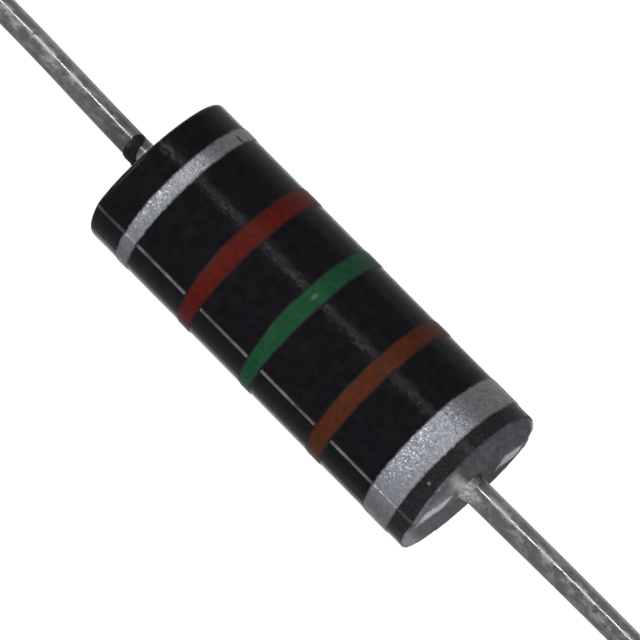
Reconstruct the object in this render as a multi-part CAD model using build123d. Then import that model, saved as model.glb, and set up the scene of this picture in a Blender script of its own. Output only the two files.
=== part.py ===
from build123d import *
import os
from math import floor, pi, radians, sin, tan

# A shielded moulded RF choke with axial leads. Sizes are in millimetres.
# +X runs along the leads towards the double-width band, +Z is up, and the origin
# is the middle of the moulded body. Left is -X and right is +X.

# The moulding: two half-round cavities meet on the parting plane, which holds the axis.
BODY_DIAMETER = 4.11
BODY_LENGTH = 10.38            # over the ridges of the two end faces
MOULD_TURN = -31.8             # degrees about +X from level to the parting plane
END_DRAFT = 3.0                # degrees that each half of an end face leans back
LEFT_RIM_RADIUS = 0.13
RIGHT_RIM_RADIUS = 0.06
FLASH_HEIGHT = 0.025           # how far the parting line's fin stands out
FLASH_WIDTH = 0.06
FLASH_SETBACK = 0.10           # end face's ridge to the fin's end
FLASH_CORNER_RADIUS = 0.15

# Resin that crept out along the leads
CREEP_ROOT = 0.04              # how deep in the end face the collar and the skirt start
LEFT_COLLAR_LENGTH = 0.76
LEFT_COLLAR_WALL = 0.03        # at the root
LEFT_COLLAR_LIP = 0.02         # wall at the collar's far end
RIGHT_SKIRT_LENGTH = 0.10
RIGHT_SKIRT_WALL = 0.17

# Leads
LEAD_DIAMETER = 0.61
LEAD_FREE_LENGTH = 27.0        # from the end face's ridge to the cut end
LEAD_END_CHAMFER = 0.06
LEAD_SEAT_DEPTH = 1.4          # how deep the lead sits in the core
ANCHOR_INSET = 0.10            # end face's ridge to the coined key that holds the lead in the epoxy
ANCHOR_LENGTH = 0.75
ANCHOR_THICKNESS = 0.34        # at the key's middle, where it is flattest

# Solder joints, each between its lead's key and the core
BEAD_LENGTH = 0.80
BEAD_WALL = 0.22
BEAD_TAPER = 0.25              # length of the thin solder fillet at each end
ANCHOR_GAP = 0.035             # coined key to bead
CORE_GAP = 0.06                # bead to flange face

# Ferrite drum core
FLANGE_THICKNESS = 1.10
SEAT_WALL = 0.295              # ferrite round the lead in the waist
NOTCH_WIDTH = 0.30

# Ferrite shield sleeve
BODY_WALL = 0.405              # epoxy outside the sleeve
SLEEVE_WALL = 0.40
SLEEVE_CHAMFER = 0.08
SLEEVE_OVERHANG = 0.40         # past each flange face
CORE_CLEARANCE = 0.03          # flange rim to sleeve bore

# Winding
WIRE_DIAMETER = 0.12           # over the enamel
WINDING_RIM = 0.08             # flange that shows above the outer layer
TAIL_LIFT = 0.03               # start tail above the notch floor, finish tail below the last layer
TAIL_STEP = 0.10               # flange face to the tail's bend
TAIL_GRIP = 0.10               # tail end to lead

# Paint bands, from left to right
PAINT = 0.02
LEFT_BAND_INSET = 1.125        # left ridge to the middle of the first band
RIGHT_BAND_INSET = 0.96        # right ridge to the middle of the last band
NARROW_SILVER_WIDTH = 0.36
RED_WIDTH = 0.51
GREEN_WIDTH = 0.47
BROWN_WIDTH = 0.45
WIDE_SILVER_WIDTH = 0.77
RED_SHIFT = -0.04              # each shift is from even spacing
GREEN_SHIFT = -0.11
BROWN_SHIFT = 0.05
BANDS = {
    "band_silver_narrow": (NARROW_SILVER_WIDTH, 0),
    "band_red": (RED_WIDTH, RED_SHIFT),
    "band_green": (GREEN_WIDTH, GREEN_SHIFT),
    "band_brown": (BROWN_WIDTH, BROWN_SHIFT),
    "band_silver_wide": (WIDE_SILVER_WIDTH, 0),
}

BODY_RADIUS = BODY_DIAMETER / 2
LEAD_RADIUS = LEAD_DIAMETER / 2
LEAD_AREA = pi * LEAD_RADIUS ** 2
SLEEVE_RADIUS = BODY_RADIUS - BODY_WALL
SLEEVE_BORE_RADIUS = SLEEVE_RADIUS - SLEEVE_WALL
ANCHOR_END = BODY_LENGTH / 2 - ANCHOR_INSET
BEAD_END = ANCHOR_END - ANCHOR_LENGTH - ANCHOR_GAP
BEAD_MIDDLE = BEAD_END - BEAD_LENGTH / 2
CORE_LENGTH = 2 * (BEAD_END - BEAD_LENGTH - CORE_GAP)
SLEEVE_LENGTH = CORE_LENGTH + 2 * SLEEVE_OVERHANG
FLANGE_RADIUS = SLEEVE_BORE_RADIUS - CORE_CLEARANCE
WAIST_RADIUS = LEAD_RADIUS + SEAT_WALL
WINDOW = CORE_LENGTH - 2 * FLANGE_THICKNESS
LAYER_PITCH = WIRE_DIAMETER * sin(radians(60))
LAYERS = 1 + floor((FLANGE_RADIUS - WINDING_RIM - WAIST_RADIUS - WIRE_DIAMETER) / LAYER_PITCH)
WINDING_RADIUS = WAIST_RADIUS + WIRE_DIAMETER + (LAYERS - 1) * LAYER_PITCH


def rod(radius, x_from, x_to):
    """A cylinder on the X axis between two stations."""
    disc = Plane(origin=(x_from, 0, 0), z_dir=(1, 0, 0)) * Circle(radius)
    return extrude(disc, x_to - x_from)


def roofed_blank():
    """The round moulding with drafted ends, before its rims are rounded."""
    height = BODY_DIAMETER
    half = BODY_LENGTH / 2
    set_back = height * tan(radians(END_DRAFT))
    outline = Polygon(
        (half, 0), (half - set_back, height), (set_back - half, height),
        (-half, 0), (set_back - half, -height), (half - set_back, -height),
        align=None,
    )
    roof = extrude(Plane.XZ * outline, BODY_DIAMETER, both=True)
    return rod(BODY_RADIUS, -half, half) & roof


def round_rims(blank):
    """Rounds each end's rim, which is two arcs that meet on the parting plane."""
    rims = blank.edges().filter_by(lambda edge: edge.geom_type != GeomType.LINE)
    left = rims.filter_by(lambda edge: edge.center().X < 0)
    blank = fillet(left, LEFT_RIM_RADIUS)
    rims = blank.edges().filter_by(GeomType.ELLIPSE)
    right = rims.filter_by(lambda edge: edge.center().X > 0)
    return fillet(right, RIGHT_RIM_RADIUS)


def flash_fin():
    """The thin fin that squeezes out along both sides, where the halves of the mould meet."""
    fin = RectangleRounded(
        BODY_LENGTH - 2 * FLASH_SETBACK, BODY_DIAMETER + 2 * FLASH_HEIGHT, FLASH_CORNER_RADIUS)
    return extrude(fin, FLASH_WIDTH / 2, both=True)


def creep_cone(side, root_radius, tip_radius, length):
    """Resin round a lead, from just inside its end face to a length outside the ridge."""
    root = Plane(origin=(side * (BODY_LENGTH / 2 - CREEP_ROOT), 0, 0), z_dir=(side, 0, 0))
    spread = (Align.CENTER, Align.CENTER, Align.MIN)
    return root * Cone(root_radius, tip_radius, CREEP_ROOT + length, align=spread)


def resin_creep():
    """The collar on the left lead and the low skirt round the right one."""
    root = LEAD_RADIUS + LEFT_COLLAR_WALL
    collar = creep_cone(-1, root, LEAD_RADIUS + LEFT_COLLAR_LIP, LEFT_COLLAR_LENGTH)
    skirt = creep_cone(1, LEAD_RADIUS + RIGHT_SKIRT_WALL, LEAD_RADIUS, RIGHT_SKIRT_LENGTH)
    return collar + skirt


def lead_key(side):
    """The part of a lead that a punch coined, square at both ends and flattest at its middle.

    Its section keeps the wire's area.
    """
    square = LEAD_AREA ** 0.5
    sections = []
    for place, thickness in ((0, square), (0.5, ANCHOR_THICKNESS), (1, square)):
        x = side * (ANCHOR_END - place * ANCHOR_LENGTH)
        plane = Plane(origin=(x, 0, 0), x_dir=(0, 1, 0), z_dir=(1, 0, 0))
        sections.append(plane * Rectangle(LEAD_AREA / thickness, thickness))
    return loft(sections, ruled=True)


def lead(side):
    """One straight lead, from its seat in the core to its cut end."""
    inner = CORE_LENGTH / 2 - LEAD_SEAT_DEPTH
    outer = BODY_LENGTH / 2 + LEAD_FREE_LENGTH
    wire = rod(LEAD_RADIUS, side * ANCHOR_END, side * outer)
    end = wire.edges().sort_by(Axis.X)[-1 if side > 0 else 0]
    wire = chamfer(end, LEAD_END_CHAMFER)
    wire += rod(LEAD_RADIUS, side * inner, side * (ANCHOR_END - ANCHOR_LENGTH))
    return wire + lead_key(side)


def shield_sleeve():
    """The ferrite tube, with its outer rims chamfered."""
    half = SLEEVE_LENGTH / 2
    blank = rod(SLEEVE_RADIUS, -half, half)
    blank = chamfer(blank.edges().filter_by(GeomType.CIRCLE), SLEEVE_CHAMFER)
    return blank - rod(SLEEVE_BORE_RADIUS, -half, half)


def wire_notch(side):
    """The slot through one flange that lets the wire out, down to the waist."""
    slot = Box(FLANGE_THICKNESS, FLANGE_RADIUS, NOTCH_WIDTH)
    x = side * (CORE_LENGTH - FLANGE_THICKNESS) / 2
    y = -side * (WAIST_RADIUS + FLANGE_RADIUS / 2)
    return Pos(x, y, 0) * slot


def ferrite_core():
    """The drum: a waist between two flanges, with wire notches and lead seats."""
    half = CORE_LENGTH / 2
    drum = rod(WAIST_RADIUS, -half, half)
    drum += rod(FLANGE_RADIUS, WINDOW / 2, half)
    drum += rod(FLANGE_RADIUS, -half, -WINDOW / 2)
    for side in (-1, 1):
        drum -= wire_notch(side)
        drum -= lead(side)
    return drum


def wire_tail(side, radius):
    """One end of the wire, out through its notch and down to its lead."""
    y = -side * radius
    y_end = -side * (LEAD_RADIUS + TAIL_GRIP)
    inside = WINDOW / 2 - (LAYERS + 1) * WIRE_DIAMETER / 2
    route = Polyline(
        (side * inside, y, 0), (side * (CORE_LENGTH / 2 + TAIL_STEP), y, 0),
        (side * BEAD_MIDDLE, y_end, 0))
    section = Plane(origin=route @ 0, z_dir=route % 0) * Circle(WIRE_DIAMETER / 2)
    return sweep(section, path=route, transition=Transition.RIGHT)


def wire_tails():
    """The start tail leaves from the first layer, the finish tail from the last."""
    start = wire_tail(-1, WAIST_RADIUS + TAIL_LIFT + WIRE_DIAMETER / 2)
    finish = wire_tail(1, WINDING_RADIUS - TAIL_LIFT - WIRE_DIAMETER / 2)
    return start, finish


def winding():
    """The layered coil and its tails. Each layer nests in the one below, half a wire in at its ends."""
    coil = Part()
    for layer in range(LAYERS):
        half = (WINDOW - layer * WIRE_DIAMETER) / 2
        coil += rod(WAIST_RADIUS + WIRE_DIAMETER + layer * LAYER_PITCH, -half, half)
    coil -= rod(WAIST_RADIUS, -WINDOW / 2, WINDOW / 2)
    start, finish = wire_tails()
    return coil + start + finish


def solder_joint(side):
    """The bead that wraps the lead and the end of one wire tail, thin at both ends."""
    foot = BEAD_LENGTH / 2
    belt = foot - BEAD_TAPER
    outline = Polyline(
        (-foot, LEAD_RADIUS), (-belt, LEAD_RADIUS + BEAD_WALL), (belt, LEAD_RADIUS + BEAD_WALL),
        (foot, LEAD_RADIUS), close=True)
    bead = Pos(X=side * BEAD_MIDDLE) * revolve(make_face(outline), Axis.X)
    return bead - wire_tails()[0 if side < 0 else 1]


def moulded_body():
    """The epoxy, which takes the shape of all that it was moulded round."""
    body = round_rims(roofed_blank()) + flash_fin() + resin_creep()
    body -= rod(SLEEVE_BORE_RADIUS, -CORE_LENGTH / 2, CORE_LENGTH / 2)
    body -= shield_sleeve()
    for side in (-1, 1):
        body -= lead(side)
        body -= solder_joint(side)
    for tail in wire_tails():
        body -= tail
    return body


def body_section(growth=0.0):
    """The moulding's outline square to the axis, with both fins, grown by a paint film."""
    fins = Rectangle(2 * (BODY_RADIUS + FLASH_HEIGHT + growth), FLASH_WIDTH + 2 * growth)
    return Circle(BODY_RADIUS + growth) + fins


def paint_band(width, middle):
    """One ring of paint that follows the moulding and its parting line."""
    film = body_section(PAINT) - body_section()
    plane = Plane(origin=(middle - width / 2, 0, 0), x_dir=(0, 1, 0), z_dir=(1, 0, 0))
    return extrude(plane * film, width)


def paint_bands():
    """All five bands by name."""
    first = LEFT_BAND_INSET - BODY_LENGTH / 2
    last = BODY_LENGTH / 2 - RIGHT_BAND_INSET
    step = (last - first) / (len(BANDS) - 1)
    bands = {}
    for place, (name, (width, shift)) in enumerate(BANDS.items()):
        bands[name] = paint_band(width, first + place * step + shift)
    return bands


def write_parts():
    """Turns every piece to the mould's angle and writes it."""
    pieces = {
        "moulded_body": moulded_body(),
        "lead_left": lead(-1),
        "lead_right": lead(1),
        "shield_sleeve": shield_sleeve(),
        "ferrite_core": ferrite_core(),
        "winding": winding(),
        "solder_joint_left": solder_joint(-1),
        "solder_joint_right": solder_joint(1),
    }
    pieces.update(paint_bands())
    os.makedirs("parts", exist_ok=True)
    for name, piece in pieces.items():
        export_step(Rot(X=MOULD_TURN) * piece, f"parts/{name}.step")


write_parts()
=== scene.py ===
# %% [markdown]
# # A shielded moulded choke with axial leads, dressed for its picture
#
# The real part is a coil on a ferrite drum, moulded into black epoxy, with five paint
# bands that give its value and a tinned lead out of each end. The CAD model already has
# the sizes. Here each outside surface gets the small forms and the finish that the eye
# looks for, and every piece stays where the CAD model put it.

from math import cos, pi, radians, sin, tan

import bmesh
import bpy
from mathutils import Matrix, Vector


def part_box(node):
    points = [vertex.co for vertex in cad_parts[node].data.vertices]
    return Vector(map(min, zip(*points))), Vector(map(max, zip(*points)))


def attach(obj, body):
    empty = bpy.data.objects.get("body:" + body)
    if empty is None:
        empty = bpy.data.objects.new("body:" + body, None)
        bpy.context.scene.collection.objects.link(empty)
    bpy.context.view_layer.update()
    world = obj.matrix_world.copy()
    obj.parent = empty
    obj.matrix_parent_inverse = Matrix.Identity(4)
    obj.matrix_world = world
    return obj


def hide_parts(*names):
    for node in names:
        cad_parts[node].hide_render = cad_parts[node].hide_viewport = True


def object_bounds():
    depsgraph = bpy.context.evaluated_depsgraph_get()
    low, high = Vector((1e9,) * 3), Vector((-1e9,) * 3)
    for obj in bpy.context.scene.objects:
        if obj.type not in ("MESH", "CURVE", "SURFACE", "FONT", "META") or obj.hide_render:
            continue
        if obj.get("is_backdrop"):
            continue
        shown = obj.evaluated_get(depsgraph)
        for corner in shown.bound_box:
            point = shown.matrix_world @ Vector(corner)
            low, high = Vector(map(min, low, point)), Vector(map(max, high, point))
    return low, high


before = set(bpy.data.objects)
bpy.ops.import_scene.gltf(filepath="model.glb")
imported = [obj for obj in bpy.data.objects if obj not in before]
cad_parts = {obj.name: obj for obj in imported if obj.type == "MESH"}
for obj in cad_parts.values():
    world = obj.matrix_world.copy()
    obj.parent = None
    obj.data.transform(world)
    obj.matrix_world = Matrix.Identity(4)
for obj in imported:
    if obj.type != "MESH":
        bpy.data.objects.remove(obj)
cad_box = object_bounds()
MM = 0.001
print("nodes:", sorted(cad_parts))

# %% [markdown]
# ## Directions
#
# The leads lie on X. The mould that shaped the body came apart on a plane that holds X
# and is turned 31.8 degrees from level. Most details follow that plane, so it gets two
# directions of its own: along the plane and out of it. The picture is taken from
# almost straight above, a little towards the right end. Its own directions help to
# place what only one side of the part has.

# %% Name the directions
MOULD_TURN = radians(-31.8)
ALONG_SPLIT = Vector((0, cos(MOULD_TURN), sin(MOULD_TURN)))
OUT_OF_SPLIT = Vector((0, -sin(MOULD_TURN), cos(MOULD_TURN)))

VIEW_AZIMUTH, VIEW_ELEVATION = radians(46.3), radians(75.0)
TO_CAMERA = Vector((sin(VIEW_AZIMUTH) * cos(VIEW_ELEVATION),
                    -cos(VIEW_AZIMUTH) * cos(VIEW_ELEVATION), sin(VIEW_ELEVATION)))
VIEW_RIGHT = Vector((cos(VIEW_AZIMUTH), sin(VIEW_AZIMUTH), 0))
VIEW_UP = TO_CAMERA.cross(VIEW_RIGHT)
AXIS = Vector((1, 0, 0))
TO_TOP = (TO_CAMERA - AXIS * TO_CAMERA.x).normalized()
TO_SIDE = TO_TOP.cross(AXIS)
print("side of the picture's upper right:", [round(v, 3) for v in TO_SIDE])


def around(turn):
    """The direction square to the axis, turned from the top of the picture's view
    towards its upper right side, in degrees."""
    return TO_TOP * cos(radians(turn)) + TO_SIDE * sin(radians(turn))


# %% [markdown]
# ## Camera
#
# A long lens flattens the picture: both leads look equally thick, and the two sides of
# the body stay parallel. The photograph is like that, so the camera stands a third of
# a metre away with a lens of more than 800 mm. It looks at a point just off the body's
# middle, because the photograph isn't quite centred.

# %% Place the camera
DISTANCE = 336 * MM
PICTURE_WIDTH = 14.45 * MM
aim = VIEW_RIGHT * 0.201 * MM + VIEW_UP * 0.115 * MM

bpy.ops.object.camera_add(location=aim + TO_CAMERA * DISTANCE,
                          rotation=(pi / 2 - VIEW_ELEVATION, 0, VIEW_AZIMUTH))
camera = bpy.context.object
camera.name = "camera"
camera.data.sensor_width = 36
camera.data.lens = 36 * DISTANCE / PICTURE_WIDTH
camera.data.clip_start, camera.data.clip_end = 0.01, 10
bpy.context.scene.camera = camera
print("lens", round(camera.data.lens, 1), "mm")

# %% [markdown]
# ## Nodes and colours
#
# Every finish is built from the same few helpers. One turns a colour that is written the
# way a paint program shows it into the linear numbers that light is counted in. Another
# adds one node, sets it, links it and gives back its output, so that nodes can be
# written one inside the other like a sum. The Mix node has several inputs of the same
# name, so they go by number: 0 is the share of the second colour, 6 and 7 are the two
# colours, and output 2 is their mix. For plain numbers these are 2, 3 and output 0.

# %% Helpers for materials


def linear(colour):
    """Turns an sRGB hex colour into linear RGBA."""
    values = [int(colour[i:i + 2], 16) / 255 for i in (1, 3, 5)]
    return [v / 12.92 if v <= 0.04045 else ((v + 0.055) / 1.055) ** 2.4 for v in values] + [1]


def add(tree, kind, inputs, out=0, **settings):
    """Adds a node and gives back one of its outputs. Each input is a value, a hex colour
    or the output that feeds it."""
    node = tree.nodes.new("ShaderNode" + kind)
    for name, value in settings.items():
        setattr(node, name, value)
    for name, value in inputs.items():
        if isinstance(value, bpy.types.NodeSocket):
            tree.links.new(value, node.inputs[name])
        else:
            node.inputs[name].default_value = linear(value) if isinstance(value, str) else value
    return node.outputs[out] if node.outputs else None


def new_material(name):
    """A material with an empty node tree, and the place on the part in millimetres."""
    material = bpy.data.materials.new(name)
    material.use_nodes = True
    tree = material.node_tree
    tree.nodes.clear()
    metres = add(tree, "TexCoord", {}, "Object")
    place = add(tree, "VectorMath", {0: metres, "Scale": 1000.0}, operation="SCALE")
    return material, tree, place


def stretch_of(tree, distance, low, high, soft):
    """One where a distance is between low and high, nought elsewhere, with soft ends."""
    rise = add(tree, "MapRange", {"Value": distance, "From Min": low - soft, "From Max": low + soft},
               interpolation_type="SMOOTHSTEP")
    fall = add(tree, "MapRange", {"Value": distance, "From Min": high - soft, "From Max": high + soft,
               "To Min": 1.0, "To Max": 0.0}, interpolation_type="SMOOTHSTEP")
    return add(tree, "Math", {0: rise, 1: fall}, operation="MULTIPLY")


def deselect():
    bpy.ops.object.select_all(action="DESELECT")


# %% [markdown]
# ## Floor and surroundings
#
# A photographer who wants a white picture and quiet reflections lays down a sheet that
# is white where the lens looks and shades off to grey around it. Here only the part
# mirrors the grey. The camera sees a pale sheet, and a pale room past its edge. The part
# is held by its leads well above the sheet, so its shadow spreads until it is hardly
# there. A quarter of what is seen of the sheet is lit by the lamps, which keeps the
# shadow. From below, the sheet is clear, so the part's underside shows.

# %% Lay the sheet
SHEET_DROP, SHEET_RADIUS = 0.060, 0.9        # in metres

deselect()
bpy.ops.mesh.primitive_circle_add(vertices=96, radius=SHEET_RADIUS, fill_type="NGON",
                                  location=(0, 0, -SHEET_DROP))
sheet = bpy.context.object
sheet.name = "graded_sheet"
bpy.ops.object.transform_apply(location=True, rotation=True, scale=True)
sheet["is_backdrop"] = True

# %% Grade it from white to grey
SHEET_WHITE, SHEET_PALE = "#FFFFFF", "#ECECEE"
MIRRORED_PALE, MIRRORED_DIM = "#A6A6A9", "#7E7E81"
WHITE_REACH, GREY_REACH = 13.0, 42.0         # millimetres from where the lens looks
DIM_SIDE, PALE_SIDE = -80.0, 80.0            # millimetres across the axis
UNLIT_SHARE = 0.75

sheet_card, tree, place = new_material("printed_card_white_to_grey")
seen = (aim - TO_CAMERA * (SHEET_DROP / TO_CAMERA.z)) / MM
away = add(tree, "VectorMath", {0: place, 1: tuple(seen)}, "Value", operation="DISTANCE")
shade = add(tree, "MapRange", {"Value": away, "From Min": WHITE_REACH, "From Max": GREY_REACH},
            interpolation_type="SMOOTHSTEP")
sideways = add(tree, "VectorMath", {0: place, 1: tuple(TO_SIDE)}, "Value", operation="DOT_PRODUCT")
lean = add(tree, "MapRange", {"Value": sideways, "From Min": DIM_SIDE, "From Max": PALE_SIDE},
           interpolation_type="SMOOTHSTEP")
grey = add(tree, "Mix", {0: lean, 6: MIRRORED_DIM, 7: MIRRORED_PALE}, 2, data_type="RGBA")
by_camera = add(tree, "LightPath", {}, "Is Camera Ray")
around_part = add(tree, "Mix", {0: by_camera, 6: grey, 7: SHEET_PALE}, 2, data_type="RGBA")
tone = add(tree, "Mix", {0: shade, 6: SHEET_WHITE, 7: around_part}, 2, data_type="RGBA")
lit = add(tree, "BsdfDiffuse", {"Color": tone})
glow = add(tree, "Emission", {"Color": tone, "Strength": 1.1})
seen_straight = by_camera
for ray in ("Is Glossy Ray", "Is Transmission Ray"):
    seen_straight = add(tree, "Math", {0: seen_straight, 1: add(tree, "LightPath", {}, ray)},
                        operation="MAXIMUM")
share = add(tree, "Math", {0: seen_straight, 1: UNLIT_SHARE}, operation="MULTIPLY")
both = add(tree, "MixShader", {0: share, 1: lit, 2: glow})
from_below = add(tree, "Math", {0: by_camera, 1: add(tree, "NewGeometry", {}, "Backfacing")},
                 operation="MULTIPLY")
clear = add(tree, "BsdfTransparent", {})
both = add(tree, "MixShader", {0: from_below, 1: both, 2: clear})
add(tree, "OutputMaterial", {"Surface": both})
sheet.data.materials.append(sheet_card)
print("the lens looks at the sheet at", [round(v, 1) for v in seen], "mm")

# %% Paint the room
ROOM_GREY = "#808083"

world = bpy.data.worlds.new("grey_room")
world.use_nodes = True
tree = world.node_tree
tree.nodes.clear()
by_camera = add(tree, "LightPath", {}, "Is Camera Ray")
walls = add(tree, "Mix", {0: by_camera, 6: ROOM_GREY, 7: SHEET_PALE}, 2, data_type="RGBA")
room = add(tree, "Background", {"Color": walls})
add(tree, "OutputWorld", {"Surface": room})
bpy.context.scene.world = world
bpy.context.scene.view_settings.view_transform = "Standard"
print("the room's grey in linear light:", round(linear(ROOM_GREY)[0], 3))

# %% [markdown]
# ## Lamps
#
# A glossy black cylinder mirrors everything in a ring round it. Lamps in that ring
# would draw white stripes along it, so the three large ones stand past its ends, where
# they stay out of the mirror. Two of them light the colours, and the third stands
# almost in line with the leads and lights the right end face. One slim lamp does stand
# in the ring and draws the single soft line that shows that the body is round.

# %% Hang the lamps
LAMP_REACH = 0.5


def softbox(name, turn, lean, share, long, wide):
    """A lamp half a metre away. Turn goes round the part's axis and lean goes along it,
    in degrees. Share is how much of a white card's full brightness it gives."""
    direction = around(turn) * cos(radians(lean)) + AXIS * sin(radians(lean))
    bpy.ops.object.light_add(type="AREA")
    lamp = bpy.context.object
    lamp.name = name
    across = direction.cross(AXIS).normalized()
    along = across.cross(direction)
    lamp.matrix_world = Matrix((along, across, direction)).transposed().to_4x4()
    lamp.location = direction * LAMP_REACH
    lamp.data.shape = "RECTANGLE"
    lamp.data.size, lamp.data.size_y = long, wide
    lamp.data.energy = share * pi ** 2 * LAMP_REACH ** 2
    lamp.visible_camera = False
    print(name, round(lamp.data.energy, 3), "W")


softbox("lamp_past_left_end", turn=-33, lean=-50, share=0.46, long=0.30, wide=0.40)
softbox("lamp_past_right_end", turn=-14, lean=48, share=0.38, long=0.30, wide=0.40)
softbox("lamp_on_right_face", turn=0, lean=78, share=0.36, long=0.30, wide=0.30)
softbox("slim_lamp", turn=30, lean=-11, share=0.11, long=0.50, wide=0.03)

# %% [markdown]
# ## The moulded body
#
# The body is cast between two half-round cavities. Each half of an end face leans back
# by three degrees so that the mould lets go, which leaves a low ridge across the face,
# and a thin fin of epoxy squeezes out where the halves meet. By hand that is a cylinder
# cut four times by leaning planes, with its rims rounded, and a thin plate for the fin
# that is merged in. The tools' tolerances suit whole millimetres better than
# thousandths of a metre, so every piece is modelled with one unit to the millimetre
# and scaled down when it is finished.

# %% Sizes in millimetres, as in the CAD model
BODY_RADIUS, HALF_LENGTH = 2.055, 5.19
END_DRAFT = radians(3)
LEFT_RIM, RIGHT_RIM = 0.13, 0.06
FIN_HEIGHT, FIN_WIDTH, FIN_CORNER, FIN_SETBACK = 0.025, 0.06, 0.15, 0.10
LEAD_RADIUS, LEAD_SIDES = 0.305, 72
print("body", 2 * HALF_LENGTH, "by", 2 * BODY_RADIUS, "mm")

# %% Helpers that select and finish


def pick(piece, kind, test):
    """In edit mode, selects the vertices, edges or faces that pass a test, and says how many."""
    bpy.ops.mesh.select_mode(type={"verts": "VERT", "edges": "EDGE", "faces": "FACE"}[kind])
    bpy.ops.mesh.select_all(action="DESELECT")
    mesh = bmesh.from_edit_mesh(piece.data)
    found = [item for item in getattr(mesh, kind) if test(item)]
    for item in found:
        item.select = True
    mesh.select_flush_mode()
    bmesh.update_edit_mesh(piece.data)
    return len(found)


def apply(piece, kind, **settings):
    """Adds a modifier and applies it."""
    modifier = piece.modifiers.new(kind.lower(), kind)
    for name, value in settings.items():
        setattr(modifier, name, value)
    bpy.ops.object.modifier_apply(modifier=modifier.name)


def clouds(name, size, depth=2):
    """A procedural cloud pattern for the Displace modifier, its size in millimetres."""
    texture = bpy.data.textures.new(name, "CLOUDS")
    texture.noise_scale, texture.noise_depth = size, depth
    return texture


def finish_piece(piece, name, slot, material, *nodes):
    """Scales a piece from millimetres to metres, gives it its material and parents it to the root body."""
    bpy.context.view_layer.objects.active = piece
    deselect()
    piece.select_set(True)
    piece.scale = (MM, MM, MM)
    bpy.ops.object.transform_apply(location=True, rotation=True, scale=True)
    bpy.ops.object.shade_smooth_by_angle(angle=radians(32))
    piece.name = piece.data.name = name
    piece.data.materials.clear()
    piece.data.materials.append(material)
    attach(piece, "root")
    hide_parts(*nodes)
    print(name, len(piece.data.polygons), "faces")


# %% Cut the body and round its rims
deselect()
bpy.ops.mesh.primitive_cylinder_add(vertices=256, radius=BODY_RADIUS, depth=2 * HALF_LENGTH,
                                    rotation=(0, pi / 2, 0))
body = bpy.context.object
bpy.ops.object.transform_apply(rotation=True)
bpy.ops.object.mode_set(mode="EDIT")
for end in (-1, 1):
    for half in (-1, 1):
        lean = AXIS * end * cos(END_DRAFT) + OUT_OF_SPLIT * half * sin(END_DRAFT)
        bpy.ops.mesh.select_all(action="SELECT")
        bpy.ops.mesh.bisect(plane_co=AXIS * end * HALF_LENGTH, plane_no=lean, use_fill=True,
                            clear_outer=True, threshold=1e-6)


def on_rim(end):
    return lambda edge: (all(v.co.x * end > 4 and v.co.yz.length > BODY_RADIUS - 0.01
                             for v in edge.verts) and edge.calc_length() < 1)


for end, radius in ((-1, LEFT_RIM), (1, RIGHT_RIM)):
    print("rim edges:", pick(body, "edges", on_rim(end)))
    bpy.ops.mesh.bevel(offset=radius, segments=5, affect="EDGES")
bpy.ops.object.mode_set(mode="OBJECT")

# %% [markdown]
# ## The fin
#
# The fin is one thin plate through the whole body, so a single union leaves the same
# fin on both sides, its crest rounded as epoxy leaves it.

# %% Merge the fin in
FIN_CREST = 0.018

deselect()
bpy.ops.mesh.primitive_cube_add(size=1)
fin = bpy.context.object
fin.scale = (2 * (HALF_LENGTH - FIN_SETBACK), 2 * (BODY_RADIUS + FIN_HEIGHT), FIN_WIDTH)
bpy.ops.object.transform_apply(scale=True)
bpy.ops.object.mode_set(mode="EDIT")
pick(fin, "edges", lambda edge: abs(edge.verts[0].co.z - edge.verts[1].co.z) > 0.01)
bpy.ops.mesh.bevel(offset=FIN_CORNER, segments=6, affect="EDGES")
pick(fin, "edges", lambda edge: abs(edge.verts[0].co.z - edge.verts[1].co.z) < 0.01)
bpy.ops.mesh.bevel(offset=FIN_CREST, segments=3, affect="EDGES")
bpy.ops.object.mode_set(mode="OBJECT")
fin.rotation_euler.x = MOULD_TURN
bpy.ops.object.transform_apply(rotation=True)

deselect()
bpy.context.view_layer.objects.active = body
body.select_set(True)
apply(body, "BOOLEAN", operation="UNION", solver="EXACT", object=fin)
bpy.data.objects.remove(fin)
print("body with fin:", len(body.data.polygons), "faces")

# %% [markdown]
# ## The nicked rim
#
# The right rim is sharper than the left one, and handling has nicked it here and there.
# A cloud pattern pushes the rim's vertices in and out. A cut round the body just before
# the rim keeps that movement from running on down the side.

# %% Nick the right rim
RIM_NICKS = clouds("rim_nicks", 0.22)
BEFORE_RIM, RIM_START, RIM_BOTTOM = 4.9, 5.0, 1.96

bpy.ops.object.mode_set(mode="EDIT")
bpy.ops.mesh.select_all(action="SELECT")
bpy.ops.mesh.bisect(plane_co=(BEFORE_RIM, 0, 0), plane_no=AXIS, threshold=1e-6)
bpy.ops.object.mode_set(mode="OBJECT")
on_right_rim = [v.index for v in body.data.vertices
                if v.co.x > RIM_START and v.co.yz.length > RIM_BOTTOM]
body.vertex_groups.new(name="right_rim").add(on_right_rim, 1.0, "REPLACE")
print("vertices on the right rim:", len(on_right_rim))
apply(body, "DISPLACE", texture=RIM_NICKS, texture_coords="LOCAL", vertex_group="right_rim",
      direction="NORMAL", strength=0.05, mid_level=0.62)

# %% [markdown]
# ## Black epoxy moulding compound, moulded satin
#
# The body is epoxy with silica filler and carbon black, shot into a steel mould that
# was polished a little. The eye sees a very dark grey with a faint cloudiness and a
# satin sheen. Where the fin has been rubbed, the filler shows as pale grey, so the split
# line is the lightest thing on the black. Its place is worked out from the distance to
# the mould's split plane. The pale streaks on the end faces' ridges are painted
# reflections.

# %% Mix the black epoxy
EPOXY_DARK, EPOXY_LIGHT = "#121014", "#1B181C"
SCUFF_AND_HIGHLIGHT, PAINTED_REFLECTION_PALE, RESIDUE = "#8E8E92", "#BEBEC2", "#BCBBBB"

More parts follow.
